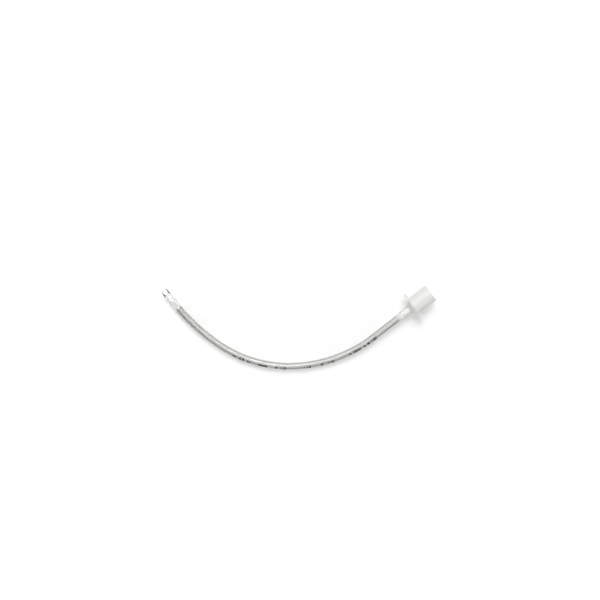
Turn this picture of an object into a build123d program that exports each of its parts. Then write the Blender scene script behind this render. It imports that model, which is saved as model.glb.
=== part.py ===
from build123d import *

import os
from math import acos, asin, cos, pi, radians, sin, sqrt

# Wire-reinforced endotracheal tube, uncuffed, bore 4.0 mm, lying on a table as it comes to rest.
#
# The tube bends in the table's plane from its tip to its lowest point in plan, the belly. From there
# it climbs gently, because its connector is thicker than the tube and rests on its flange.
# The origin is on the table, under the middle of the whole part. Lengths are in millimetres.

# Tube wall
BORE_RADIUS = 2.0
TUBE_RADIUS = 2.8
SEAT_RADIUS = 2.17  # outside of the thinner middle that carries the wire
SLEEVE_BORE_RADIUS = 2.6

# Centreline, from the tip to the connector's shoulder
TIP_X = -112.45  # puts the middle of the whole part over the origin
TIP_Y = 31.53
TIP_HEADING = -49.9  # degrees from the X axis
TIP_RUN = 19.5
FIRST_BEND_RADIUS = 168.0
FIRST_BEND_TURN = 15.9
SECOND_BEND_RADIUS = 102.0
SECOND_BEND_TURN = 34.0
THIRD_BEND_RADIUS = 113.0
THIRD_BEND_TURN = 38.1
CORNER_REACH = 0.18  # the straight runs that follow a bend have their corners this far outside it
COILED_RUN = 26.1  # last straight stretch that has wire in it
CLEAR_RUN = 12.2  # plain machine end, stretched over the stem

# Tip
BEVEL_ANGLE = 45.0  # between the bevel and the centreline
TIP_ROUNDING = 0.3
EYE_LENGTH = 6.6
EYE_WIDTH = 3.2
EYE_TO_TIP = 10.0

# Reinforcing wire
WIRE_RADIUS = 0.15
WIRE_SIDES = 3
COIL_RADIUS = 2.42  # centreline to the wire's corners
CORNERS_PER_TURN = 9
WORKING_TURNS = 55
CLOSED_TURNS = 1.5  # wound close together at each end
CLOSED_PITCH = 0.45
COIL_END_GAP = 0.2

# Stem of the connector and the machine end that is stretched over it
STEM_LENGTH = 10.8
STEM_BORE_RADIUS = 1.75
STEM_NOSE_RADIUS = 2.0
STEM_RADIUS = 2.4
NOSE_LENGTH = 1.5
FLARE_LEAD = 0.2  # the wall starts to widen this far ahead of the nose
MACHINE_END_RADIUS = 3.2

# Connector: 15 mm male cone, 1 in 40 on the diameter
CONE_BASE_RADIUS = 7.735
CONE_LENGTH = 17.0
CONE_TAPER = 40.0
CONE_CHAMFER = 0.4
SOCKET_RADIUS = 6.4
FLANGE_RADIUS = 8.0
FLANGE_THICKNESS = 1.6
SHOULDER_RADIUS = 7.3
SHOULDER_LENGTH = 3.3
COLLAR_RADIUS = 3.35
SHOULDER_WALL = 1.2
LUG_REACH = 12.3
LUG_WIDTH = 6.5
LUG_THICKNESS = 1.2
LUG_BEAD_RADIUS = 1.05

UP = Vector(0, 0, 1)


def square_plane(point, along):
    """Plane square to a direction of travel, with its X axis level and its Y axis upwards."""
    return Plane(origin=point, x_dir=UP.cross(along), z_dir=along)


# Centreline
with BuildLine(Plane.XY.offset(TUBE_RADIUS)) as lying_route:
    tip_run = PolarLine((TIP_X, TIP_Y), TIP_RUN, TIP_HEADING)
    first_bend = JernArc(tip_run @ 1, tip_run % 1, FIRST_BEND_RADIUS, FIRST_BEND_TURN)
    second_bend = JernArc(first_bend @ 1, first_bend % 1, SECOND_BEND_RADIUS, SECOND_BEND_TURN)

belly = second_bend @ 1

# The climb is what lifts the connector until its flange rests on the table
base_reach = THIRD_BEND_RADIUS * (1 - cos(radians(THIRD_BEND_TURN)))
base_reach += (COILED_RUN + CLEAR_RUN + SHOULDER_LENGTH) * sin(radians(THIRD_BEND_TURN))
climb = asin((FLANGE_RADIUS - TUBE_RADIUS) / base_reach)
climbing_plane = Plane(origin=belly, x_dir=(1, 0, 0), z_dir=(0, -sin(climb), cos(climb)))

with BuildLine(climbing_plane) as climbing_route:
    third_bend = JernArc(belly, Vector(1, 0, 0), THIRD_BEND_RADIUS, THIRD_BEND_TURN)
    coiled_run = Line(third_bend @ 1, third_bend @ 1 + (third_bend % 1) * COILED_RUN)
    clear_run = Line(coiled_run @ 1, coiled_run @ 1 + (third_bend % 1) * CLEAR_RUN)


def bend_corners(bend, turn):
    """Corners of the straight runs that follow a bend, each run touching it at its middle."""
    runs = round(radians(turn) / 2 / acos(bend.radius / (bend.radius + CORNER_REACH)))
    spread = 1 / cos(radians(turn) / runs / 2)
    middles = [bend @ ((k + 0.5) / runs) for k in range(runs)]
    return [bend.arc_center + (middle - bend.arc_center) * spread for middle in middles]


with BuildLine() as coil_line:
    bends = bend_corners(first_bend, FIRST_BEND_TURN)
    bends += bend_corners(second_bend, SECOND_BEND_TURN)
    bends += bend_corners(third_bend, THIRD_BEND_TURN)
    Polyline(tip_run @ 1, *bends, coiled_run @ 1)

coil_route = coil_line.wire()
tip_plane = square_plane(tip_run @ 0, tip_run % 0)
coil_start_plane = square_plane(tip_run @ 1, tip_run % 1)
coil_end_plane = square_plane(coiled_run @ 1, coiled_run % 1)
shoulder_plane = square_plane(clear_run @ 1, clear_run % 1)


def lengthwise(plane):
    """Plane through the centreline, with X along it, Y out to one side and the origin of a square plane."""
    return Plane(origin=plane.origin, x_dir=plane.z_dir, z_dir=plane.y_dir)


# Tube: tip, thin middle and stretched machine end in one wall
with BuildPart() as tube:
    with BuildSketch(tip_plane):
        Circle(TUBE_RADIUS)
        Circle(BORE_RADIUS, mode=Mode.SUBTRACT)
    extrude(amount=TIP_RUN)

    with BuildSketch(coil_start_plane):
        Circle(SEAT_RADIUS)
        Circle(BORE_RADIUS, mode=Mode.SUBTRACT)
    sweep(path=coil_route, transition=Transition.RIGHT)

    with BuildSketch(lengthwise(coil_end_plane)):
        flare_start = CLEAR_RUN - STEM_LENGTH - FLARE_LEAD
        flare_end = CLEAR_RUN - STEM_LENGTH + NOSE_LENGTH
        with BuildLine():
            Polyline(
                (0, BORE_RADIUS),
                (flare_start, BORE_RADIUS),
                (flare_end, STEM_RADIUS),
                (CLEAR_RUN, STEM_RADIUS),
                (CLEAR_RUN, MACHINE_END_RADIUS),
                (flare_end, MACHINE_END_RADIUS),
                (flare_start, TUBE_RADIUS),
                (0, TUBE_RADIUS),
                close=True,
            )
        make_face()
    revolve(axis=Axis(coil_end_plane.origin, coil_end_plane.z_dir))

    # The bevel faces up, and its longest point is at the bottom
    bevel_heading = (tip_run % 0) * -sin(radians(BEVEL_ANGLE)) + UP * cos(radians(BEVEL_ANGLE))
    bevel_plane = Plane(origin=tip_run @ 0 - UP * TUBE_RADIUS, x_dir=tip_plane.x_dir, z_dir=bevel_heading)
    split(bisect_by=bevel_plane, keep=Keep.BOTTOM)
    bevel_face = tube.faces().filter_by(bevel_plane).sort_by(Axis.Z)[0]
    chamfer(bevel_face.outer_wire().edges(), TIP_ROUNDING)

    # Side eye in the bottom wall
    eye_plane = Plane(origin=tip_run @ (EYE_TO_TIP / TIP_RUN), x_dir=tip_run % 0, z_dir=-UP)
    with BuildSketch(eye_plane):
        Ellipse(EYE_LENGTH / 2, EYE_WIDTH / 2)
    extrude(amount=2 * TUBE_RADIUS, mode=Mode.SUBTRACT)

tube.part.label = "tube"

# Outer sleeve over the wire
with BuildPart() as outer_sleeve:
    with BuildSketch(coil_start_plane):
        Circle(TUBE_RADIUS)
        Circle(SLEEVE_BORE_RADIUS, mode=Mode.SUBTRACT)
    sweep(path=coil_route, transition=Transition.RIGHT)

outer_sleeve.part.label = "outer_sleeve"


# Reinforcing coil
coil_length = coil_route.length - 2 * COIL_END_GAP
working_pitch = (coil_length - 2 * CLOSED_TURNS * CLOSED_PITCH) / WORKING_TURNS
total_turns = WORKING_TURNS + 2 * CLOSED_TURNS


def pitch_at(turn):
    """Pitch of the wire at a number of turns from its start."""
    closed = turn < CLOSED_TURNS or turn > total_turns - CLOSED_TURNS
    return CLOSED_PITCH if closed else working_pitch


def distance_at(turn):
    """Distance along the route at a number of turns from the wire's start."""
    first = min(turn, CLOSED_TURNS)
    last = max(turn - (total_turns - CLOSED_TURNS), 0)
    return COIL_END_GAP + (first + last) * CLOSED_PITCH + (turn - first - last) * working_pitch


def wire_plane(turn):
    """Plane square to the wire, with its X axis pointing away from the tube's centreline."""
    distance = distance_at(turn)
    centre = coil_route.position_at(distance, position_mode=PositionMode.LENGTH)
    along = coil_route.tangent_at(distance, position_mode=PositionMode.LENGTH)
    level = UP.cross(along).normalized()
    upright = along.cross(level)
    angle = 2 * pi * turn
    outward = level * cos(angle) + upright * sin(angle)
    round_tube = upright * cos(angle) - level * sin(angle)
    heading = round_tube * (2 * pi * COIL_RADIUS) + along * pitch_at(turn)
    return Plane(origin=centre + outward * COIL_RADIUS, x_dir=outward, z_dir=heading)


with BuildPart() as reinforcing_coil:
    for corner in range(round(total_turns * CORNERS_PER_TURN) + 1):
        with BuildSketch(wire_plane(corner / CORNERS_PER_TURN)):
            RegularPolygon(WIRE_RADIUS, WIRE_SIDES)
    loft(ruled=True)

reinforcing_coil.part.label = "reinforcing_coil"

# Connector
base = SHOULDER_LENGTH + FLANGE_THICKNESS
mouth = base + CONE_LENGTH
mouth_radius = CONE_BASE_RADIUS - CONE_LENGTH / CONE_TAPER / 2

# The funnel inside runs level with the shoulder outside, one wall's thickness in
funnel_rate = SHOULDER_LENGTH / (SHOULDER_RADIUS - COLLAR_RADIUS)
funnel_shift = SHOULDER_WALL * sqrt(1 + funnel_rate**2)
funnel_start = funnel_shift + (STEM_BORE_RADIUS - COLLAR_RADIUS) * funnel_rate
funnel_end = funnel_shift + (SOCKET_RADIUS - COLLAR_RADIUS) * funnel_rate

with BuildPart() as connector:
    connector_axis = Axis(shoulder_plane.origin, shoulder_plane.z_dir)

    # Stem, shoulder and flange
    with BuildSketch(lengthwise(shoulder_plane)):
        with BuildLine():
            Polyline(
                (-STEM_LENGTH, 0),
                (-STEM_LENGTH, STEM_NOSE_RADIUS),
                (NOSE_LENGTH - STEM_LENGTH, STEM_RADIUS),
                (0, STEM_RADIUS),
                (0, COLLAR_RADIUS),
                (SHOULDER_LENGTH, SHOULDER_RADIUS),
                (SHOULDER_LENGTH, FLANGE_RADIUS),
                (base, FLANGE_RADIUS),
                (base, 0),
                close=True,
            )
        make_face()
    revolve(axis=connector_axis)

    # Male cone, with its mouth chamfered
    with BuildSketch(shoulder_plane.offset(base)):
        Circle(CONE_BASE_RADIUS)
    with BuildSketch(shoulder_plane.offset(mouth)):
        Circle(mouth_radius)
    loft(ruled=True)
    chamfer(connector.faces().sort_by(connector_axis)[-1].edges(), CONE_CHAMFER)

    # Two lugs, level with the table, with a bead along each tip
    lug_plane = shoulder_plane.offset(SHOULDER_LENGTH + FLANGE_THICKNESS / 2)
    bead_reach = LUG_REACH - LUG_BEAD_RADIUS
    with BuildSketch(lug_plane):
        Rectangle(2 * bead_reach, LUG_WIDTH)
    extrude(amount=LUG_THICKNESS / 2, both=True)
    bead_plane = Plane(origin=lug_plane.origin, x_dir=lug_plane.x_dir, z_dir=lug_plane.y_dir)
    with BuildSketch(bead_plane):
        with Locations((-bead_reach, 0), (bead_reach, 0)):
            Circle(LUG_BEAD_RADIUS)
    extrude(amount=LUG_WIDTH / 2, both=True)

    # Bore of the stem, funnel and socket
    with BuildSketch(lengthwise(shoulder_plane)):
        with BuildLine():
            Polyline(
                (-STEM_LENGTH, 0),
                (-STEM_LENGTH, STEM_BORE_RADIUS),
                (funnel_start, STEM_BORE_RADIUS),
                (funnel_end, SOCKET_RADIUS),
                (mouth, SOCKET_RADIUS),
                (mouth, 0),
                close=True,
            )
        make_face()
    revolve(axis=connector_axis, mode=Mode.SUBTRACT)

connector.part.label = "connector"

os.makedirs("parts", exist_ok=True)
for piece in (tube, outer_sleeve, reinforcing_coil, connector):
    export_step(piece.part, f"parts/{piece.part.label}.step")
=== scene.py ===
import math

import bmesh
import bpy
from bpy.props import FloatProperty, FloatVectorProperty, IntProperty, PointerProperty
from mathutils import Matrix, Vector


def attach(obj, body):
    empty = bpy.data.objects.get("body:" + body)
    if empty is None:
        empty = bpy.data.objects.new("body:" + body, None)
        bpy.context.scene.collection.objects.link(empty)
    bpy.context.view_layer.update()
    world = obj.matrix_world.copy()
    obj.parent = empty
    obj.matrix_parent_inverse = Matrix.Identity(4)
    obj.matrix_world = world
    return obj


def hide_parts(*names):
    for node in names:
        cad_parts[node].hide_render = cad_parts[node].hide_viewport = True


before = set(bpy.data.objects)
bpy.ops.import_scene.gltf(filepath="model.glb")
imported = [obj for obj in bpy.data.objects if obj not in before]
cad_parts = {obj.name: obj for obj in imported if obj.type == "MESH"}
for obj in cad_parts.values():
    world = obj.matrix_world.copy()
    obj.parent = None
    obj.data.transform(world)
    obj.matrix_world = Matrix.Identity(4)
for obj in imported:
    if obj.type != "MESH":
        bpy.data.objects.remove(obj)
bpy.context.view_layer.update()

bl_info = {
    "name": "Reinforced Airway Tube",
    "version": (1, 0, 0),
    "blender": (4, 5, 0),
    "location": "View3D > Sidebar > Airway Tube",
    "description": "Dresses the packed tube with its clear walls, wire, connector, print and studio stage",
    "category": "Object",
}

MM = 0.001
FULL_TURN = 2 * math.pi
UP = Vector((0, 0, 1))
AIR_GAP = 0.01 * MM  # left between pieces that touch, so that no two faces lie in one place
TABLE_GAP = 0.02 * MM  # between the part and the table
WELD = 0.001 * MM  # corners closer than this are one
WIRE_WELD = 0.002 * MM
SLICE_WELD = 0.0005 * MM
ROUND_STEPS = 4  # faces across a wide rounding
EDGE_STEPS = 3  # faces across a fine rounding
EYE_FACETS = 48
BEAD_FACETS = 40
BAR_STEPS = 4  # faces across a printed bar, and along a short one
LUG_ROUNDING = 0.2 * MM
LUG_ROOT = 0.5 * MM  # how deep a lug starts inside the shoulder's large end
FIGURE_SHARE = 0.73  # height of a figure over its font size
SENSOR_WIDTH = 36  # in mm
PVC_IOR = 1.53
PLASTIC_IOR = 1.5


def length(name, description, default):
    """A size in metres that the sidebar shows with its unit."""
    return FloatProperty(
        name=name,
        description=description,
        default=default,
        subtype="DISTANCE",
        unit="LENGTH",
        precision=5,
    )


def turn(name, description, degrees):
    """An angle, given here in degrees."""
    return FloatProperty(
        name=name,
        description=description,
        default=math.radians(degrees),
        subtype="ANGLE",
        unit="ROTATION",
    )


def tint(name, description, colour):
    """A colour without alpha."""
    return FloatVectorProperty(
        name=name,
        description=description,
        default=colour,
        size=3,
        min=0,
        max=1,
        subtype="COLOR",
    )


def share(name, description, default):
    """A part of a whole, from 0 to 1."""
    return FloatProperty(name=name, description=description, default=default, min=0, max=1, subtype="FACTOR")


def plain(name, description, default):
    """A number without a unit."""
    return FloatProperty(name=name, description=description, default=default)


class RouteSettings(bpy.types.PropertyGroup):
    """Centreline of the tubing, from the tip to the connector's shoulder."""

    tip_x: length("Tip X", "Where the tip's axis ends", -112.45 * MM)
    tip_y: length("Tip Y", "Where the tip's axis ends", 31.53 * MM)
    tip_heading: turn("Tip Heading", "Direction of the tip run from the X axis", -49.9)
    tip_run: length("Tip Run", "Clear straight run with no wire in it", 19.5 * MM)
    first_radius: length("First Bend Radius", "Gentle bend after the tip", 168 * MM)
    first_turn: turn("First Bend Turn", "Gentle bend after the tip", 15.9)
    second_radius: length("Second Bend Radius", "Tight bend before the lowest point in plan", 102 * MM)
    second_turn: turn("Second Bend Turn", "Tight bend before the lowest point in plan", 34)
    third_radius: length("Third Bend Radius", "Bend that climbs to the connector", 113 * MM)
    third_turn: turn("Third Bend Turn", "Bend that climbs to the connector", 38.1)
    coiled_run: length("Coiled Run", "Last straight stretch with wire in it", 26.1 * MM)
    clear_run: length("Clear Run", "Machine end, stretched over the stem", 12.2 * MM)
    climb: turn("Climb", "Tilt of the third bend's plane, as the connector rests on its flange", 5.998)


class TubeSettings(bpy.types.PropertyGroup):
    """Sizes of the tube wall and the sleeve over it."""

    bore_radius: length("Bore Radius", "Radius of the airway", 2.0 * MM)
    tube_radius: length("Tube Radius", "Outer radius of the finished tubing", 2.8 * MM)
    seat_radius: length("Seat Radius", "Outer radius of the thin middle under the wire", 2.17 * MM)
    bevel_angle: turn("Bevel Angle", "Between the bevel and the centreline", 45)
    tip_rounding: length("Tip Rounding", "How far the bevel's outer edge is rounded", 0.5 * MM)
    edge_rounding: length("Edge Rounding", "Radius of the cut edges", 0.12 * MM)
    eye_length: length("Eye Length", "Side eye, along the tube", 6.6 * MM)
    eye_width: length("Eye Width", "Side eye, across the tube", 3.2 * MM)
    eye_distance: length("Eye Distance", "From the tip to the middle of the side eye", 10 * MM)
    machine_radius: length("Machine End Radius", "Outer radius of the stretched end", 3.2 * MM)
    flare_lead: length("Flare Lead", "How far ahead of the stem's nose the wall widens", 0.2 * MM)
    ring_spacing: length("Ring Spacing", "Longest step of the mesh along the tube", 1.6 * MM)
    facets: IntProperty(name="Facets", description="Faces round the tubing", default=56, min=12)


class CoilSettings(bpy.types.PropertyGroup):
    """Reinforcing wire."""

    wire_radius: length("Wire Radius", "Half the wire's thickness", 0.15 * MM)
    coil_radius: length("Coil Radius", "Centreline of the tube to the centre of the wire", 2.36 * MM)
    pitch: length("Pitch", "Advance of the working turns", 1.06 * MM)
    closed_pitch: length("Closed Pitch", "Advance of the end turns", 0.34 * MM)
    end_gap: length("End Gap", "From the wire's end to the edge of the sleeve", 0.2 * MM)
    closed_turns: IntProperty(name="Closed Turns", description="Turns wound close at each end", default=2)
    facets: IntProperty(name="Facets", description="Faces round the wire", default=6)
    steps: IntProperty(name="Steps", description="Steps of the mesh in each turn", default=20)


class ConnectorSettings(bpy.types.PropertyGroup):
    """Connector with a 15 mm cone, two lugs and a stem."""

    stem_length: length("Stem Length", "From the nose to the shoulder", 10.8 * MM)
    stem_bore_radius: length("Stem Bore Radius", "Bore through the stem", 1.75 * MM)
    stem_nose_radius: length("Stem Nose Radius", "Outer radius of the nose", 2.0 * MM)
    stem_radius: length("Stem Radius", "Outer radius of the stem", 2.4 * MM)
    nose_length: length("Nose Length", "Tapered end of the stem", 1.5 * MM)
    collar_radius: length("Collar Radius", "Small end of the shoulder", 3.35 * MM)
    shoulder_radius: length("Shoulder Radius", "Large end of the shoulder", 7.3 * MM)
    shoulder_length: length("Shoulder Length", "From the collar to the flange", 3.3 * MM)
    flange_radius: length("Flange Radius", "Round flange between the lugs", 8.0 * MM)
    flange_thickness: length("Flange Thickness", "Along the axis", 1.6 * MM)
    cone_base_radius: length("Cone Base Radius", "Outer radius of the cone at the flange", 7.735 * MM)
    cone_length: length("Cone Length", "From the flange to the mouth", 17 * MM)
    cone_taper: plain("Cone Taper", "Length over change of diameter", 40)
    socket_radius: length("Socket Radius", "Bore of the cone", 6.4 * MM)
    funnel_start: length("Funnel Start", "Where the stem's bore widens, from the shoulder", 0.22 * MM)
    funnel_end: length("Funnel End", "Where the funnel meets the socket", 4.11 * MM)
    lug_reach: length("Lug Reach", "From the axis to a lug's tip", 12.3 * MM)
    lug_width: length("Lug Width", "Of each lug", 6.5 * MM)
    lug_thickness: length("Lug Thickness", "Along the axis", 1.2 * MM)
    bead_radius: length("Bead Radius", "Bead along each lug's tip", 1.05 * MM)
    mouth_rounding: length("Mouth Rounding", "Radius of the mouth's outer edge", 0.6 * MM)
    edge_rounding: length("Edge Rounding", "Radius of the moulded edges", 0.25 * MM)
    facets: IntProperty(name="Facets", description="Faces round the axis", default=96)


class PrintSettings(bpy.types.PropertyGroup):
    """Dark line in the sleeve, and the depth marks and plain numbers on it."""

    angle: turn("Angle", "From the top of the tube towards the outside of the curve", 39)
    digit_height: length("Digit Height", "Round the tube", 2.6 * MM)
    boldness: plain("Boldness", "What each stroke gains on each side, over the digit's height", 0.08)
    ink_thickness: length("Ink Thickness", "Ink that stands proud of the sleeve", 0.015 * MM)
    slice_width: length("Slice Width", "Longest straight step of the ink round the tube", 0.25 * MM)
    # Sizes of the thin dark strip laid just under the sleeve's surface
    line_width: length("Line Width", "Of the dark line", 0.65 * MM)
    line_depth: length("Line Depth", "From the sleeve's surface to the line", 0.08 * MM)
    line_thickness: length("Line Thickness", "Of the dark line", 0.1 * MM)


class FinishSettings(bpy.types.PropertyGroup):
    """Colours of the materials, and how much of the lamps' light their pieces let through."""

    clear: tint("Clear PVC", "Light that the clear wall passes", (0.965, 0.965, 0.950))
    sleeve: tint("Sleeve PVC", "Light that the sleeve passes", (0.975, 0.970, 0.960))
    steel: tint("Steel", "Colour of the wire", (0.84, 0.83, 0.81))
    plastic: tint("Connector Plastic", "Colour of the moulded connector", (0.850, 0.845, 0.825))
    ink: tint("Ink", "Colour of the print", (0.025, 0.023, 0.025))
    # Colour of the thin dark strip laid just under the sleeve's surface
    line: tint("Line", "Colour of the dark line", (0.12, 0.12, 0.115))
    floor: tint("Floor", "Colour of the table", (0.9, 0.9, 0.9))
    tip_share: share("Tip Share", "Lamp light that passes each face of the tip", 0.5)
    clear_share: share("Clear Share", "Lamp light that passes each face of the clear tube past the tip", 0.85)
    sleeve_share: share("Sleeve Share", "Lamp light that passes each face of the sleeve", 0.88)
    plastic_share: share("Plastic Share", "Lamp light that passes each face of the connector", 0.55)


class StageSettings(bpy.types.PropertyGroup):
    """Camera, lights and floor."""

    view_x: length("View X", "Middle of the picture", 0.95 * MM)
    view_y: length("View Y", "Middle of the picture", 23.05 * MM)
    view_width: length("View Width", "Width of the table that the picture takes in", 0.498)
    camera_height: length("Camera Height", "Above the table", 1.5)
    floor_size: length("Floor Size", "Side of the table", 6.0)
    lamp_tilt: turn("Lamp Tilt", "Of the soft light, from overhead towards the top of the picture", 36)
    lamp_swing: turn("Lamp Swing", "Of the soft light, from the top of the picture to its right", 6)
    lamp_spread: turn("Lamp Spread", "Angle that the soft light takes up, seen from the part", 32)
    lamp_strength: plain("Lamp Strength", "Of the soft light", 1.85)
    card_tilt: turn("Card Tilt", "Of the reflector card, from overhead towards the foot of the picture", 75)
    card_spread: turn("Card Spread", "Angle that the reflector card takes up, seen from the part", 30)
    card_strength: plain("Card Strength", "Of the light off the card", 0.4)
    fill: plain("Fill", "Strength of the even light from all round", 0.55)
    lift: plain("Lift", "What the white table adds in the picture alone", 0.07)
    walls: plain("Walls", "How bright gloss and clear walls see the room, level with the part", 0.75)
    ceiling: plain("Ceiling", "How bright gloss and clear walls see the room, overhead", 1.5)


class Route:
    """Straight runs and arcs that meet smoothly. A place on it has a level left side and an upright."""

    def __init__(self, settings):
        self.spans = []
        self.length = 0.0
        self.point = Vector((settings.tip_x, settings.tip_y, bpy.context.scene.airway_tube.tube_radius))
        self.heading = Vector((math.cos(settings.tip_heading), math.sin(settings.tip_heading), 0))
        self.normal = UP.copy()
        self.add(settings.tip_run, 0)
        self.add(settings.first_radius * settings.first_turn, settings.first_turn)
        self.add(settings.second_radius * settings.second_turn, settings.second_turn)
        self.wire_start = settings.tip_run
        self.normal = Matrix.Rotation(settings.climb, 3, self.heading) @ UP
        self.add(settings.third_radius * settings.third_turn, settings.third_turn)
        self.add(settings.coiled_run, 0)
        self.wire_end = self.length
        self.add(settings.clear_run, 0)

    def add(self, span_length, span_turn):
        """Adds a straight run, or an arc to the left where it has a turn."""
        self.spans.append((self.length, span_length, span_turn, self.point, self.heading, self.normal))
        self.length += span_length
        self.point, self.heading = self.place(self.length)

    def place(self, distance):
        """Point and direction at a distance from the tip. The end spans carry on past the route's ends."""
        start, span_length, span_turn, point, heading, normal = next(
            (span for span in reversed(self.spans) if distance >= span[0]), self.spans[0]
        )
        run = distance - start
        if not span_turn:
            return point + heading * run, heading
        radius = span_length / span_turn
        angle = run / radius
        left = normal.cross(heading)
        centre = point + left * radius
        arm = Matrix.Rotation(angle, 3, normal) @ (point - centre)
        return centre + arm, Matrix.Rotation(angle, 3, normal) @ heading

    def bend(self, bm):
        """Bends a mesh that was made straight along X, with Y to the left and Z upright."""
        for vert in bm.verts:
            point, along = self.place(vert.co.x)
            left = UP.cross(along).normalized()
            vert.co = point + left * vert.co.y + along.cross(left) * vert.co.z


def profile(bm, points, spacing=None, start=0.0, end=0.0):
    """Closed outline in the XZ plane. Its edges from start to end, which will bend, are cut into steps."""
    verts = [bm.verts.new((x, 0, z)) for x, z in points]
    edges = [bm.edges.new((verts[i - 1], verts[i])) for i in range(len(verts))]
    for edge in edges:
        low, high = sorted(vert.co.x for vert in edge.verts)
        cuts = int(edge.calc_length() / spacing) if low > start - AIR_GAP and high < end + AIR_GAP else 0
        if cuts:
            bmesh.ops.subdivide_edges(bm, edges=[edge], cuts=cuts)


def revolve(bm, facets):
    """Turns the outline round the X axis into a closed wall."""
    bmesh.ops.spin(
        bm,
        geom=list(bm.verts) + list(bm.edges),
        cent=(0, 0, 0),
        axis=(1, 0, 0),
        dvec=(0, 0, 0),
        angle=FULL_TURN,
        space=Matrix.Identity(4),
        steps=facets,
        use_merge=True,
        use_normal_flip=False,
        use_duplicate=False,
    )
    bmesh.ops.remove_doubles(bm, verts=list(bm.verts), dist=WELD)
    bmesh.ops.recalc_face_normals(bm, faces=list(bm.faces))


def round_edges(bm, edges, radius, segments):
    """Rounds edges over a number of faces."""
    bmesh.ops.bevel(
        bm,
        geom=edges,
        offset=radius,
        offset_type="OFFSET",
        segments=segments,
        profile=0.5,
        affect="EDGES",
        clamp_overlap=True,
        material=-1,
    )


def sharp_edges(bm, angle=0.6):
    """Edges where the surface turns by more than an angle."""
    return [edge for edge in bm.edges if edge.is_manifold and edge.calc_face_angle() > angle]


def wrap_uv(bm):
    """Lays U along the tube, in millimetres, and V once round it, while the mesh is still straight."""
    layer = bm.loops.layers.uv.new("around")
    for face in bm.faces:
        middle = face.calc_center_median()
        centre = math.atan2(middle.y, middle.z) / FULL_TURN
        for loop in face.loops:
            co = loop.vert.co
            around = math.atan2(co.y, co.z) / FULL_TURN
            around -= round(around - centre)
            loop[layer].uv = (co.x / MM, around)


def add_bar(bm, start, bar_length, height, steps):
    """Adds a flat bar with its middle on the X axis."""
    made = bmesh.ops.create_grid(bm, x_segments=steps, y_segments=BAR_STEPS, size=0.5)
    bmesh.ops.scale(bm, vec=(bar_length, height, 1), verts=made["verts"])
    bmesh.ops.translate(bm, vec=(start + bar_length / 2, 0, 0), verts=made["verts"])


def wrap_round(bm, angle, girth, inner, outer):
    """Wraps flat shapes round the straight tube, from an angle off its top, as a skin between two radii."""
    made = bmesh.ops.extrude_face_region(bm, geom=list(bm.faces))
    raised = {item for item in made["geom"] if isinstance(item, bmesh.types.BMVert)}
    for vert in bm.verts:
        radius = outer if vert in raised else inner
        around = angle - vert.co.y / girth
        vert.co.y = -radius * math.sin(around)
        vert.co.z = radius * math.cos(around)
    bmesh.ops.recalc_face_normals(bm, faces=list(bm.faces))


def piece(bm, name, material, node, smooth_angle=0.7):
    """Makes the mesh an object that rides on the part, and stands for a CAD node where one is named."""
    mesh = bpy.data.meshes.new(name)
    bm.to_mesh(mesh)
    bm.free()
    mesh.polygons.foreach_set("use_smooth", [True] * len(mesh.polygons))
    mesh.set_sharp_from_angle(angle=smooth_angle)
    mesh.materials.append(material)
    obj = bpy.data.objects.new(name, mesh)
    bpy.context.scene.collection.objects.link(obj)
    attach(obj, "root")
    if node:
        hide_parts(node)
    return obj


def new_material(name):
    """Material with a Principled shader. Returns it with its nodes, links and shader."""
    material = bpy.data.materials.new(name)
    material.use_nodes = True
    nodes, links = material.node_tree.nodes, material.node_tree.links
    return material, nodes, links, nodes["Principled BSDF"]


def noise(nodes, links, scale, detail):
    """Noise on the piece's own coordinates."""
    place = nodes.new("ShaderNodeTexCoord")
    texture = nodes.new("ShaderNodeTexNoise")
    texture.inputs["Scale"].default_value = scale
    texture.inputs["Detail"].default_value = detail
    links.new(place.outputs["Object"], texture.inputs["Vector"])
    return texture.outputs["Fac"]


def spread(nodes, links, value, low, high):
    """Maps a value from 0 to 1 to a range."""
    scale = nodes.new("ShaderNodeMapRange")
    scale.inputs["To Min"].default_value = low
    scale.inputs["To Max"].default_value = high
    links.new(value, scale.inputs["Value"])
    return scale.outputs["Result"]


def bump(nodes, links, shader, height, distance, strength, below=None):
    """Adds relief to the shader."""
    node = nodes.new("ShaderNodeBump")
    node.inputs["Distance"].default_value = distance
    node.inputs["Strength"].default_value = strength
    links.new(height, node.inputs["Height"])
    if below:
        links.new(below, node.inputs["Normal"])
    links.new(node.outputs["Normal"], shader.inputs["Normal"])
    return node.outputs["Normal"]


def let_lamps_through(nodes, links, shader, part):
    """Lets a part of the lamps' light straight through each face, so that the shadow stays soft and pale."""
    path = nodes.new("ShaderNodeLightPath")
    scale = nodes.new("ShaderNodeMath")
    scale.operation = "MULTIPLY"
    scale.inputs[1].default_value = part
    through = nodes.new("ShaderNodeBsdfTransparent")
    mix = nodes.new("ShaderNodeMixShader")
    links.new(path.outputs["Is Shadow Ray"], scale.inputs[0])
    links.new(scale.outputs["Value"], mix.inputs["Fac"])
    links.new(shader.outputs["BSDF"], mix.inputs[1])
    links.new(through.outputs["BSDF"], mix.inputs[2])
    links.new(mix.outputs["Shader"], nodes["Material Output"].inputs["Surface"])


def clear_pvc(finish, name, part, smooth, rough):
    """Soft clear PVC with a faint orange-peel surface."""
    material, nodes, links, shader = new_material(name)
    shader.inputs["Base Color"].default_value = (*finish.clear, 1)
    shader.inputs["IOR"].default_value = PVC_IOR
    shader.inputs["Transmission Weight"].default_value = 1.0
    links.new(spread(nodes, links, noise(nodes, links, 900, 3), smooth, rough), shader.inputs["Roughness"])
    bump(nodes, links, shader, noise(nodes, links, 350, 2), 0.004 * MM, 0.4)
    let_lamps_through(nodes, links, shader, part)
    return material


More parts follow.
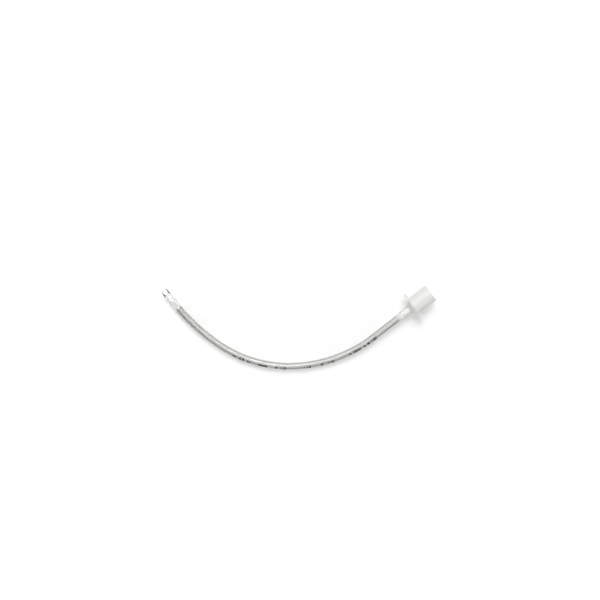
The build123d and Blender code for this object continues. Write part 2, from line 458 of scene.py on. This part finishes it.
def sleeve_pvc(finish, pitch):
    """Satin PVC that shows the turns of the wire beneath as faint ribs."""
    material, nodes, links, shader = new_material("sleeve_pvc")
    shader.inputs["Base Color"].default_value = (*finish.sleeve, 1)
    shader.inputs["IOR"].default_value = PVC_IOR
    shader.inputs["Transmission Weight"].default_value = 1.0
    links.new(spread(nodes, links, noise(nodes, links, 700, 3), 0.34, 0.48), shader.inputs["Roughness"])
    uv = nodes.new("ShaderNodeUVMap")
    uv.uv_map = "around"
    split = nodes.new("ShaderNodeSeparateXYZ")
    turns = nodes.new("ShaderNodeMath")
    turns.operation = "MULTIPLY_ADD"
    turns.inputs[1].default_value = MM / pitch
    phase = nodes.new("ShaderNodeMath")
    phase.operation = "MULTIPLY"
    phase.inputs[1].default_value = FULL_TURN
    wave = nodes.new("ShaderNodeMath")
    wave.operation = "SINE"
    links.new(uv.outputs["UV"], split.inputs["Vector"])
    links.new(split.outputs["X"], turns.inputs[0])
    links.new(split.outputs["Y"], turns.inputs[2])
    links.new(turns.outputs["Value"], phase.inputs[0])
    links.new(phase.outputs["Value"], wave.inputs[0])
    ribs = bump(nodes, links, shader, spread(nodes, links, wave.outputs["Value"], 0, 1), 0.03 * MM, 0.5)
    bump(nodes, links, shader, noise(nodes, links, 400, 3), 0.02 * MM, 0.4, ribs)
    let_lamps_through(nodes, links, shader, finish.sleeve_share)
    return material


def steel_wire(finish):
    """Drawn stainless wire, with uneven gloss."""
    material, nodes, links, shader = new_material("steel_wire")
    shader.inputs["Base Color"].default_value = (*finish.steel, 1)
    shader.inputs["Metallic"].default_value = 1.0
    links.new(spread(nodes, links, noise(nodes, links, 1500, 2), 0.4, 0.6), shader.inputs["Roughness"])
    return material


def connector_plastic(finish):
    """Milky moulded plastic, lit through."""
    material, nodes, links, shader = new_material("connector_plastic")
    shader.inputs["Base Color"].default_value = (*finish.plastic, 1)
    shader.inputs["IOR"].default_value = PLASTIC_IOR
    shader.inputs["Transmission Weight"].default_value = 0.35
    links.new(spread(nodes, links, noise(nodes, links, 500, 4), 0.28, 0.4), shader.inputs["Roughness"])
    bump(nodes, links, shader, noise(nodes, links, 260, 3), 0.03 * MM, 0.3)
    let_lamps_through(nodes, links, shader, finish.plastic_share)
    return material


def pigment(name, colour, lighter):
    """Matt pigment that covers unevenly, up to a few times lighter where it is thin."""
    material, nodes, links, shader = new_material(name)
    ramp = nodes.new("ShaderNodeValToRGB")
    ramp.color_ramp.elements[0].position = 0.35
    ramp.color_ramp.elements[0].color = (*colour, 1)
    ramp.color_ramp.elements[1].position = 0.75
    ramp.color_ramp.elements[1].color = (*[lighter * part for part in colour], 1)
    links.new(noise(nodes, links, 2500, 4), ramp.inputs["Fac"])
    links.new(ramp.outputs["Color"], shader.inputs["Base Color"])
    links.new(spread(nodes, links, noise(nodes, links, 1200, 2), 0.45, 0.7), shader.inputs["Roughness"])
    return material


def rays_that_see(nodes, links):
    """1 for rays by which the camera, gloss and clear walls see the stage, and 0 for those that only light it."""
    path = nodes.new("ShaderNodeLightPath")
    seen = path.outputs["Is Camera Ray"]
    for name in ("Is Glossy Ray", "Is Transmission Ray"):
        either = nodes.new("ShaderNodeMath")
        either.operation = "MAXIMUM"
        links.new(seen, either.inputs[0])
        links.new(path.outputs[name], either.inputs[1])
        seen = either.outputs["Value"]
    return seen


def table_white(settings, finish):
    """White table that keeps the shadow. What is seen of it is lifted to white."""
    material, nodes, links, shader = new_material("table_white")
    nodes.remove(shader)
    diffuse = nodes.new("ShaderNodeBsdfDiffuse")
    diffuse.inputs["Color"].default_value = (*finish.floor, 1)
    strength = nodes.new("ShaderNodeMath")
    strength.operation = "MULTIPLY"
    strength.inputs[1].default_value = settings.lift
    glow = nodes.new("ShaderNodeEmission")
    add = nodes.new("ShaderNodeAddShader")
    links.new(rays_that_see(nodes, links), strength.inputs[0])
    links.new(strength.outputs["Value"], glow.inputs["Strength"])
    links.new(diffuse.outputs["BSDF"], add.inputs[0])
    links.new(glow.outputs["Emission"], add.inputs[1])
    links.new(add.outputs["Shader"], nodes["Material Output"].inputs["Surface"])
    return material


class AIRWAY_OT_tube(bpy.types.Operator):
    """Make the clear tube, with its bevelled tip, side eye and stretched machine end"""

    bl_idname = "airway.tube"
    bl_label = "Clear Tube"

    def execute(self, context):
        scene = context.scene
        tube, joint = scene.airway_tube, scene.airway_connector
        route = Route(scene.airway_route)
        nose_end = route.length - joint.stem_length + joint.nose_length
        flare_start = nose_end - joint.nose_length - tube.flare_lead
        machine_end = route.length - AIR_GAP
        outline = [
            (0, tube.bore_radius),
            (route.wire_start, tube.bore_radius),
            (route.wire_end, tube.bore_radius),
            (flare_start, tube.bore_radius),
            (nose_end, joint.stem_radius + AIR_GAP),
            (machine_end, joint.stem_radius + AIR_GAP),
            (machine_end, tube.machine_radius),
            (nose_end, tube.machine_radius),
            (flare_start, tube.tube_radius),
            (route.wire_end, tube.tube_radius),
            (route.wire_end, tube.seat_radius),
            (route.wire_start, tube.seat_radius),
            (route.wire_start, tube.tube_radius),
            (0, tube.tube_radius),
        ]
        bm = bmesh.new()
        profile(bm, outline, tube.ring_spacing, route.wire_start, route.wire_end)
        revolve(bm, tube.facets)
        self.cut_bevel(bm, tube)
        machine_rim = [edge for edge in sharp_edges(bm) if min(vert.co.x for vert in edge.verts) > nose_end]
        round_edges(bm, machine_rim, tube.edge_rounding, EDGE_STEPS)
        bm = self.cut_eye(bm, tube)
        wrap_uv(bm)
        for face in bm.faces:
            face.material_index = int(face.calc_center_median().x > route.wire_start)
        route.bend(bm)
        finish = scene.airway_finish
        tip_finish = clear_pvc(finish, "clear_pvc_tip", finish.tip_share, 0.1, 0.18)
        body = piece(bm, "clear_tube", tip_finish, "tube")
        body.data.materials.append(clear_pvc(finish, "clear_pvc", finish.clear_share, 0.22, 0.34))
        return {"FINISHED"}

    def cut_bevel(self, bm, tube):
        """Cuts the tip at a slant, longest at the bottom, and rounds the cut."""
        cut = bmesh.ops.bisect_plane(
            bm,
            geom=list(bm.verts) + list(bm.edges) + list(bm.faces),
            dist=WELD,
            plane_co=(0, 0, -tube.tube_radius),
            plane_no=(-math.sin(tube.bevel_angle), 0, math.cos(tube.bevel_angle)),
            clear_outer=True,
            clear_inner=False,
        )
        rims = [edge for edge in cut["geom_cut"] if isinstance(edge, bmesh.types.BMEdge)]
        bmesh.ops.bridge_loops(bm, edges=rims)
        middle = (tube.tube_radius + tube.bore_radius) / 2
        outer = [edge for edge in rims if math.hypot(edge.verts[0].co.y, edge.verts[0].co.z) > middle]
        inner = [edge for edge in rims if edge not in outer]
        round_edges(bm, outer, tube.tip_rounding, ROUND_STEPS)
        round_edges(bm, [edge for edge in inner if edge.is_valid], tube.edge_rounding, EDGE_STEPS)
        bmesh.ops.recalc_face_normals(bm, faces=list(bm.faces))

    def cut_eye(self, bm, tube):
        """Cuts the side eye through the bottom wall."""
        blank = bpy.data.meshes.new("eye_blank")
        bm.to_mesh(blank)
        bm.free()
        body = bpy.data.objects.new("eye_blank", blank)
        cutter_bm = bmesh.new()
        bmesh.ops.create_cone(
            cutter_bm,
            cap_ends=True,
            segments=EYE_FACETS,
            radius1=tube.eye_width / 2,
            radius2=tube.eye_width / 2,
            depth=4 * tube.tube_radius,
        )
        stretch = tube.eye_length / tube.eye_width
        bmesh.ops.scale(cutter_bm, vec=(stretch, 1, 1), verts=list(cutter_bm.verts))
        place = (tube.eye_distance, 0, -2 * tube.tube_radius)
        bmesh.ops.translate(cutter_bm, vec=place, verts=list(cutter_bm.verts))
        cutter_mesh = bpy.data.meshes.new("eye_cutter")
        cutter_bm.to_mesh(cutter_mesh)
        cutter_bm.free()
        cutter = bpy.data.objects.new("eye_cutter", cutter_mesh)
        for obj in (body, cutter):
            bpy.context.scene.collection.objects.link(obj)
        cut = body.modifiers.new("eye", "BOOLEAN")
        cut.operation = "DIFFERENCE"
        cut.solver = "EXACT"
        cut.object = cutter
        bpy.context.view_layer.update()
        shaped = bpy.data.meshes.new_from_object(body.evaluated_get(bpy.context.evaluated_depsgraph_get()))
        result = bmesh.new()
        result.from_mesh(shaped)
        for obj in (body, cutter):
            bpy.data.objects.remove(obj)
        for mesh in (blank, cutter_mesh, shaped):
            bpy.data.meshes.remove(mesh)
        return result


class AIRWAY_OT_sleeve(bpy.types.Operator):
    """Make the sleeve that closes over the wire"""

    bl_idname = "airway.sleeve"
    bl_label = "Outer Sleeve"

    def execute(self, context):
        scene = context.scene
        tube = scene.airway_tube
        route = Route(scene.airway_route)
        inner = tube.seat_radius + AIR_GAP
        start, end = route.wire_start + AIR_GAP, route.wire_end - AIR_GAP
        bm = bmesh.new()
        outline = [
            (start, inner),
            (end, inner),
            (end, tube.tube_radius),
            (start, tube.tube_radius),
        ]
        profile(bm, outline, tube.ring_spacing, start, end)
        revolve(bm, tube.facets)
        wrap_uv(bm)
        route.bend(bm)
        finish = sleeve_pvc(scene.airway_finish, scene.airway_coil.pitch)
        piece(bm, "sleeve", finish, "outer_sleeve")
        return {"FINISHED"}


class AIRWAY_OT_line(bpy.types.Operator):
    """Lay a dark line in the sleeve along the wound stretch, on the side that carries the print"""

    bl_idname = "airway.line"
    bl_label = "Dark Line"

    def execute(self, context):
        scene = context.scene
        tube, coil, ink = scene.airway_tube, scene.airway_coil, scene.airway_print
        route = Route(scene.airway_route)
        start, end = route.wire_start + coil.end_gap, route.wire_end - coil.end_gap
        outer = tube.tube_radius - ink.line_depth
        # A thin dark strip just under the sleeve's surface, along the wound stretch, at the print's angle
        bm = bmesh.new()
        add_bar(bm, start, end - start, ink.line_width, round((end - start) / tube.ring_spacing))
        wrap_round(bm, ink.angle, outer, outer - ink.line_thickness, outer)
        wrap_uv(bm)
        route.bend(bm)
        finish = pigment("line_pigment", scene.airway_finish.line, 1.4)
        piece(bm, "dark_line", finish, None)
        return {"FINISHED"}


class AIRWAY_OT_coil(bpy.types.Operator):
    """Wind the reinforcing wire, with closed turns at both ends"""

    bl_idname = "airway.coil"
    bl_label = "Reinforcing Coil"

    def execute(self, context):
        scene = context.scene
        coil = scene.airway_coil
        route = Route(scene.airway_route)
        start = route.wire_start + coil.end_gap + coil.wire_radius
        end = route.wire_end - coil.end_gap - coil.wire_radius
        closed_run = coil.closed_turns * coil.closed_pitch
        working_turns = round((end - start - 2 * closed_run) / coil.pitch)
        working_pitch = (end - start - 2 * closed_run) / working_turns
        bm = bmesh.new()
        self.wind(bm, coil, start, coil.closed_turns, coil.closed_pitch)
        self.wind(bm, coil, start + closed_run, working_turns, working_pitch)
        self.wind(bm, coil, end - closed_run, coil.closed_turns, coil.closed_pitch)
        bmesh.ops.remove_doubles(bm, verts=list(bm.verts), dist=WIRE_WELD)
        bmesh.ops.holes_fill(bm, edges=[edge for edge in bm.edges if edge.is_boundary], sides=0)
        bmesh.ops.recalc_face_normals(bm, faces=list(bm.faces))
        route.bend(bm)
        finish = steel_wire(scene.airway_finish)
        piece(bm, "wound_wire", finish, "reinforcing_coil", 1.4)
        return {"FINISHED"}

    def wind(self, bm, coil, start, turns, pitch):
        """Adds turns of wire from a place on the X axis. One turn is spun, and the rest are laid after it."""
        one = bmesh.new()
        bmesh.ops.create_circle(one, segments=coil.facets, radius=coil.wire_radius)
        bmesh.ops.rotate(one, verts=list(one.verts), matrix=Matrix.Rotation(math.pi / 2, 3, "X"))
        bmesh.ops.translate(one, verts=list(one.verts), vec=(start, 0, coil.coil_radius))
        bmesh.ops.spin(
            one,
            geom=list(one.verts) + list(one.edges),
            cent=(0, 0, 0),
            axis=(1, 0, 0),
            dvec=(pitch / coil.steps, 0, 0),
            angle=FULL_TURN,
            space=Matrix.Identity(4),
            steps=coil.steps,
            use_merge=False,
            use_normal_flip=False,
            use_duplicate=False,
        )
        mesh = bpy.data.meshes.new("turn")
        one.to_mesh(mesh)
        one.free()
        for _ in range(turns):
            bm.from_mesh(mesh)
            mesh.transform(Matrix.Translation((pitch, 0, 0)))
        bpy.data.meshes.remove(mesh)


class AIRWAY_OT_connector(bpy.types.Operator):
    """Make the connector, with its cone, flange, lugs, shoulder and stem"""

    bl_idname = "airway.connector"
    bl_label = "Connector"

    def execute(self, context):
        scene = context.scene
        joint = scene.airway_connector
        route = Route(scene.airway_route)
        flange_start = route.length + joint.shoulder_length
        flange_end = flange_start + joint.flange_thickness
        mouth = flange_end + joint.cone_length
        mouth_radius = joint.cone_base_radius - joint.cone_length / joint.cone_taper / 2
        outline = [
            (route.length - joint.stem_length, joint.stem_bore_radius),
            (route.length - joint.stem_length, joint.stem_nose_radius),
            (route.length - joint.stem_length + joint.nose_length, joint.stem_radius),
            (route.length, joint.stem_radius),
            (route.length, joint.collar_radius),
            (flange_start, joint.shoulder_radius),
            (flange_start, joint.flange_radius),
            (flange_end, joint.flange_radius),
            (flange_end, joint.cone_base_radius),
            (mouth, mouth_radius),
            (mouth, joint.socket_radius),
            (route.length + joint.funnel_end, joint.socket_radius),
            (route.length + joint.funnel_start, joint.stem_bore_radius),
        ]
        bm = bmesh.new()
        profile(bm, outline)
        revolve(bm, joint.facets)
        rim = [edge for edge in sharp_edges(bm) if self.on_rim(edge, mouth, joint.socket_radius)]
        round_edges(bm, rim, joint.mouth_rounding, ROUND_STEPS)
        round_edges(bm, sharp_edges(bm, 0.5), joint.edge_rounding, EDGE_STEPS)
        body = bpy.data.meshes.new("connector_body")
        bm.to_mesh(body)
        bm.free()
        lugs = self.lugs(joint, (flange_start + flange_end) / 2)
        bm = self.joined(body, lugs)
        wrap_uv(bm)
        route.bend(bm)
        finish = connector_plastic(scene.airway_finish)
        piece(bm, "moulded_connector", finish, "connector")
        return {"FINISHED"}

    def on_rim(self, edge, mouth, socket_radius):
        """True for an edge round the outside of the mouth."""
        corners = [vert.co for vert in edge.verts]
        level = min(co.x for co in corners) > mouth - AIR_GAP
        return level and math.hypot(corners[0].y, corners[0].z) > socket_radius + AIR_GAP

    def lugs(self, joint, middle):
        """Two level lugs with an upright bead along each tip, as separate meshes."""
        made = []
        bead_reach = joint.lug_reach - joint.bead_radius
        for side in (-1, 1):
            bm = bmesh.new()
            bmesh.ops.create_cube(bm, size=1)
            inner = joint.shoulder_radius - LUG_ROOT
            size = (joint.lug_thickness, bead_reach - inner, joint.lug_width)
            bmesh.ops.scale(bm, vec=size, verts=list(bm.verts))
            bmesh.ops.translate(bm, vec=(middle, side * (bead_reach + inner) / 2, 0), verts=list(bm.verts))
            round_edges(bm, list(bm.edges), LUG_ROUNDING, EDGE_STEPS)
            made.append(self.as_mesh(bm, "lug"))
            bm = bmesh.new()
            bmesh.ops.create_cone(
                bm,
                cap_ends=True,
                segments=BEAD_FACETS,
                radius1=joint.bead_radius,
                radius2=joint.bead_radius,
                depth=joint.lug_width,
            )
            round_edges(bm, sharp_edges(bm), LUG_ROUNDING, EDGE_STEPS)
            bmesh.ops.translate(bm, vec=(middle, side * bead_reach, 0), verts=list(bm.verts))
            made.append(self.as_mesh(bm, "bead"))
        return made

    def as_mesh(self, bm, name):
        """Turns a bmesh into a mesh."""
        mesh = bpy.data.meshes.new(name)
        bm.to_mesh(mesh)
        bm.free()
        return mesh

    def joined(self, body, additions):
        """Fuses meshes into one closed body."""
        objects = [bpy.data.objects.new(mesh.name, mesh) for mesh in [body, *additions]]
        for obj in objects:
            bpy.context.scene.collection.objects.link(obj)
        for obj in objects[1:]:
            fuse = objects[0].modifiers.new(obj.name, "BOOLEAN")
            fuse.operation = "UNION"
            fuse.solver = "EXACT"
            fuse.object = obj
        bpy.context.view_layer.update()
        depsgraph = bpy.context.evaluated_depsgraph_get()
        fused = bpy.data.meshes.new_from_object(objects[0].evaluated_get(depsgraph))
        bm = bmesh.new()
        bm.from_mesh(fused)
        for obj in objects:
            bpy.data.objects.remove(obj)
        return bm


class AIRWAY_OT_print(bpy.types.Operator):
    """Print the depth marks and plain numbers on the sleeve"""

    bl_idname = "airway.print"
    bl_label = "Depth Marks"

    # Each depth is printed just after its tick
    NUMBERS = (
        # what it says, where it starts in mm from the tip, and its height against the usual digits
        ("4.0", 84.6, 1.1),
        ("5.6", 91.8, 0.7),
        ("12", 121.0, 1.0),
        ("14", 141.2, 1.0),
        ("16", 160.9, 1.0),
        ("18", 180.9, 1.0),
        ("20", 200.4, 1.0),
    )
    BARS = (
        # start in mm from the tip, length in mm and height in mm
        (79.2, 3.2, 1.4),
        (101.5, 7.6, 1.8),
        (115.2, 2.2, 1.6),
        (119.3, 0.6, 2.4),
        (139.4, 0.5, 1.4),
        (153.0, 2.0, 2.0),
        (159.3, 0.6, 2.4),
        (177.6, 2.2, 1.5),
        (184.2, 4.4, 1.7),
        (191.4, 1.6, 1.8),
        (194.8, 2.4, 2.2),
        (198.7, 0.6, 2.4),
    )

    def execute(self, context):
        scene = context.scene
        ink, tube = scene.airway_print, scene.airway_tube
        route = Route(scene.airway_route)
        bm = bmesh.new()
        for text, start, size in self.NUMBERS:
            self.add_number(bm, text, start * MM, size * ink.digit_height, ink.boldness)
        for start, bar_length, height in self.BARS:
            add_bar(bm, start * MM, bar_length * MM, height * MM, BAR_STEPS)
        self.slice(bm, ink)
        radius = tube.tube_radius
        wrap_round(bm, ink.angle, radius, radius - AIR_GAP, radius + ink.ink_thickness)
        wrap_uv(bm)
        route.bend(bm)
        finish = pigment("print_ink", scene.airway_finish.ink, 3)
        piece(bm, "depth_marks", finish, None)
        return {"FINISHED"}

    def add_number(self, bm, text, start, height, boldness):
        """Adds flat figures, reading along X, with their middle on the X axis."""
        curve = bpy.data.curves.new("figures", "FONT")
        curve.body = text
        curve.size = height / FIGURE_SHARE
        curve.offset = boldness * height
        curve.resolution_u = 4
        holder = bpy.data.objects.new("figures", curve)
        bpy.context.scene.collection.objects.link(holder)
        bpy.context.view_layer.update()
        mesh = bpy.data.meshes.new_from_object(holder)
        mesh.transform(Matrix.Translation((start, -height / 2, 0)))
        bm.from_mesh(mesh)
        bpy.data.objects.remove(holder)
        bpy.data.curves.remove(curve)
        bpy.data.meshes.remove(mesh)

    def slice(self, bm, ink):
        """Cuts the flat print across its height, so that it can bend round the tube."""
        steps = math.ceil(0.6 * ink.digit_height / ink.slice_width)
        for k in range(-steps, steps + 1):
            bmesh.ops.bisect_plane(
                bm,
                geom=list(bm.verts) + list(bm.edges) + list(bm.faces),
                dist=SLICE_WELD,
                plane_co=(0, k * ink.slice_width, 0),
                plane_no=(0, 1, 0),
            )


class AIRWAY_OT_stage(bpy.types.Operator):
    """Set the table, the lights and the camera"""

    bl_idname = "airway.stage"
    bl_label = "Studio Stage"

    def execute(self, context):
        scene = context.scene
        settings = scene.airway_stage
        self.table(scene, settings)
        self.lights(scene, settings)
        self.camera(scene, settings)
        scene.view_settings.view_transform = "Standard"
        return {"FINISHED"}

    def table(self, scene, settings):
        """White table under the part."""
        bm = bmesh.new()
        bmesh.ops.create_grid(bm, x_segments=1, y_segments=1, size=settings.floor_size / 2)
        mesh = bpy.data.meshes.new("table")
        bm.to_mesh(mesh)
        bm.free()
        mesh.materials.append(table_white(settings, scene.airway_finish))
        table = bpy.data.objects.new("table", mesh)
        table.location.z = -TABLE_GAP
        scene.collection.objects.link(table)

    def lights(self, scene, settings):
        """Soft light from above, light off a card from below the picture, and even light from all round."""
        tilt, swing = settings.lamp_tilt, settings.lamp_swing
        self.far_light(scene, "soft_light", tilt, swing, settings.lamp_spread, settings.lamp_strength)
        tilt = -settings.card_tilt
        self.far_light(scene, "card_light", tilt, 0, settings.card_spread, settings.card_strength)
        world = bpy.data.worlds.new("surroundings")
        world.use_nodes = True
        nodes, links = world.node_tree.nodes, world.node_tree.links
        direction = nodes.new("ShaderNodeTexCoord")
        split = nodes.new("ShaderNodeSeparateXYZ")
        links.new(direction.outputs["Generated"], split.inputs["Vector"])
        room = spread(nodes, links, split.outputs["Z"], settings.walls, settings.ceiling)
        strength = nodes.new("ShaderNodeMapRange")
        strength.inputs["To Min"].default_value = settings.fill
        links.new(room, strength.inputs["To Max"])
        links.new(rays_that_see(nodes, links), strength.inputs["Value"])
        path = nodes.new("ShaderNodeLightPath")
        white = nodes.new("ShaderNodeMath")
        white.operation = "MAXIMUM"
        links.new(strength.outputs["Result"], white.inputs[0])
        links.new(path.outputs["Is Camera Ray"], white.inputs[1])
        background = nodes["Background"]
        background.inputs["Color"].default_value = (1, 1, 1, 1)
        links.new(white.outputs["Value"], background.inputs["Strength"])
        scene.world = world

    def far_light(self, scene, name, tilt, swing, light_spread, strength):
        """Light so far off that it is even over the whole table."""
        lamp = bpy.data.lights.new(name, "SUN")
        lamp.angle = light_spread
        lamp.energy = strength
        holder = bpy.data.objects.new(name, lamp)
        holder.rotation_euler = (-tilt, 0, -swing)
        scene.collection.objects.link(holder)

    def camera(self, scene, settings):
        """Camera straight above, as in the picture."""
        camera = bpy.data.cameras.new("camera")
        camera.sensor_width = SENSOR_WIDTH
        camera.lens = camera.sensor_width * settings.camera_height / settings.view_width
        camera.clip_start, camera.clip_end = 0.01, 20
        holder = bpy.data.objects.new("camera", camera)
        holder.location = (settings.view_x, settings.view_y, settings.camera_height)
        scene.collection.objects.link(holder)
        scene.camera = holder


PARTS = (
    "airway.tube",
    "airway.coil",
    "airway.sleeve",
    "airway.line",
    "airway.connector",
    "airway.print",
    "airway.stage",
)


class AIRWAY_PT_panel(bpy.types.Panel):
    """Lists the pieces in the sidebar"""

    bl_idname = "AIRWAY_PT_panel"
    bl_label = "Airway Tube"
    bl_space_type = "VIEW_3D"
    bl_region_type = "UI"
    bl_category = "Airway Tube"

    def draw(self, context):
        for name in PARTS:
            self.layout.operator(name)


SETTINGS = {
    "airway_route": RouteSettings,
    "airway_tube": TubeSettings,
    "airway_coil": CoilSettings,
    "airway_connector": ConnectorSettings,
    "airway_print": PrintSettings,
    "airway_finish": FinishSettings,
    "airway_stage": StageSettings,
}
CLASSES = (
    *SETTINGS.values(),
    AIRWAY_OT_tube,
    AIRWAY_OT_coil,
    AIRWAY_OT_sleeve,
    AIRWAY_OT_line,
    AIRWAY_OT_connector,
    AIRWAY_OT_print,
    AIRWAY_OT_stage,
    AIRWAY_PT_panel,
)


def register():
    """Adds the classes and their settings."""
    for cls in CLASSES:
        bpy.utils.register_class(cls)
    for name, group in SETTINGS.items():
        setattr(bpy.types.Scene, name, PointerProperty(type=group))


def unregister():
    """Takes them out again."""
    for name in SETTINGS:
        delattr(bpy.types.Scene, name)
    for cls in reversed(CLASSES):
        bpy.utils.unregister_class(cls)


def main():
    """Makes every piece and the stage."""
    register()
    for name in PARTS:
        group, operator = name.split(".")
        getattr(getattr(bpy.ops, group), operator)()


if __name__ == "__main__":
    main()
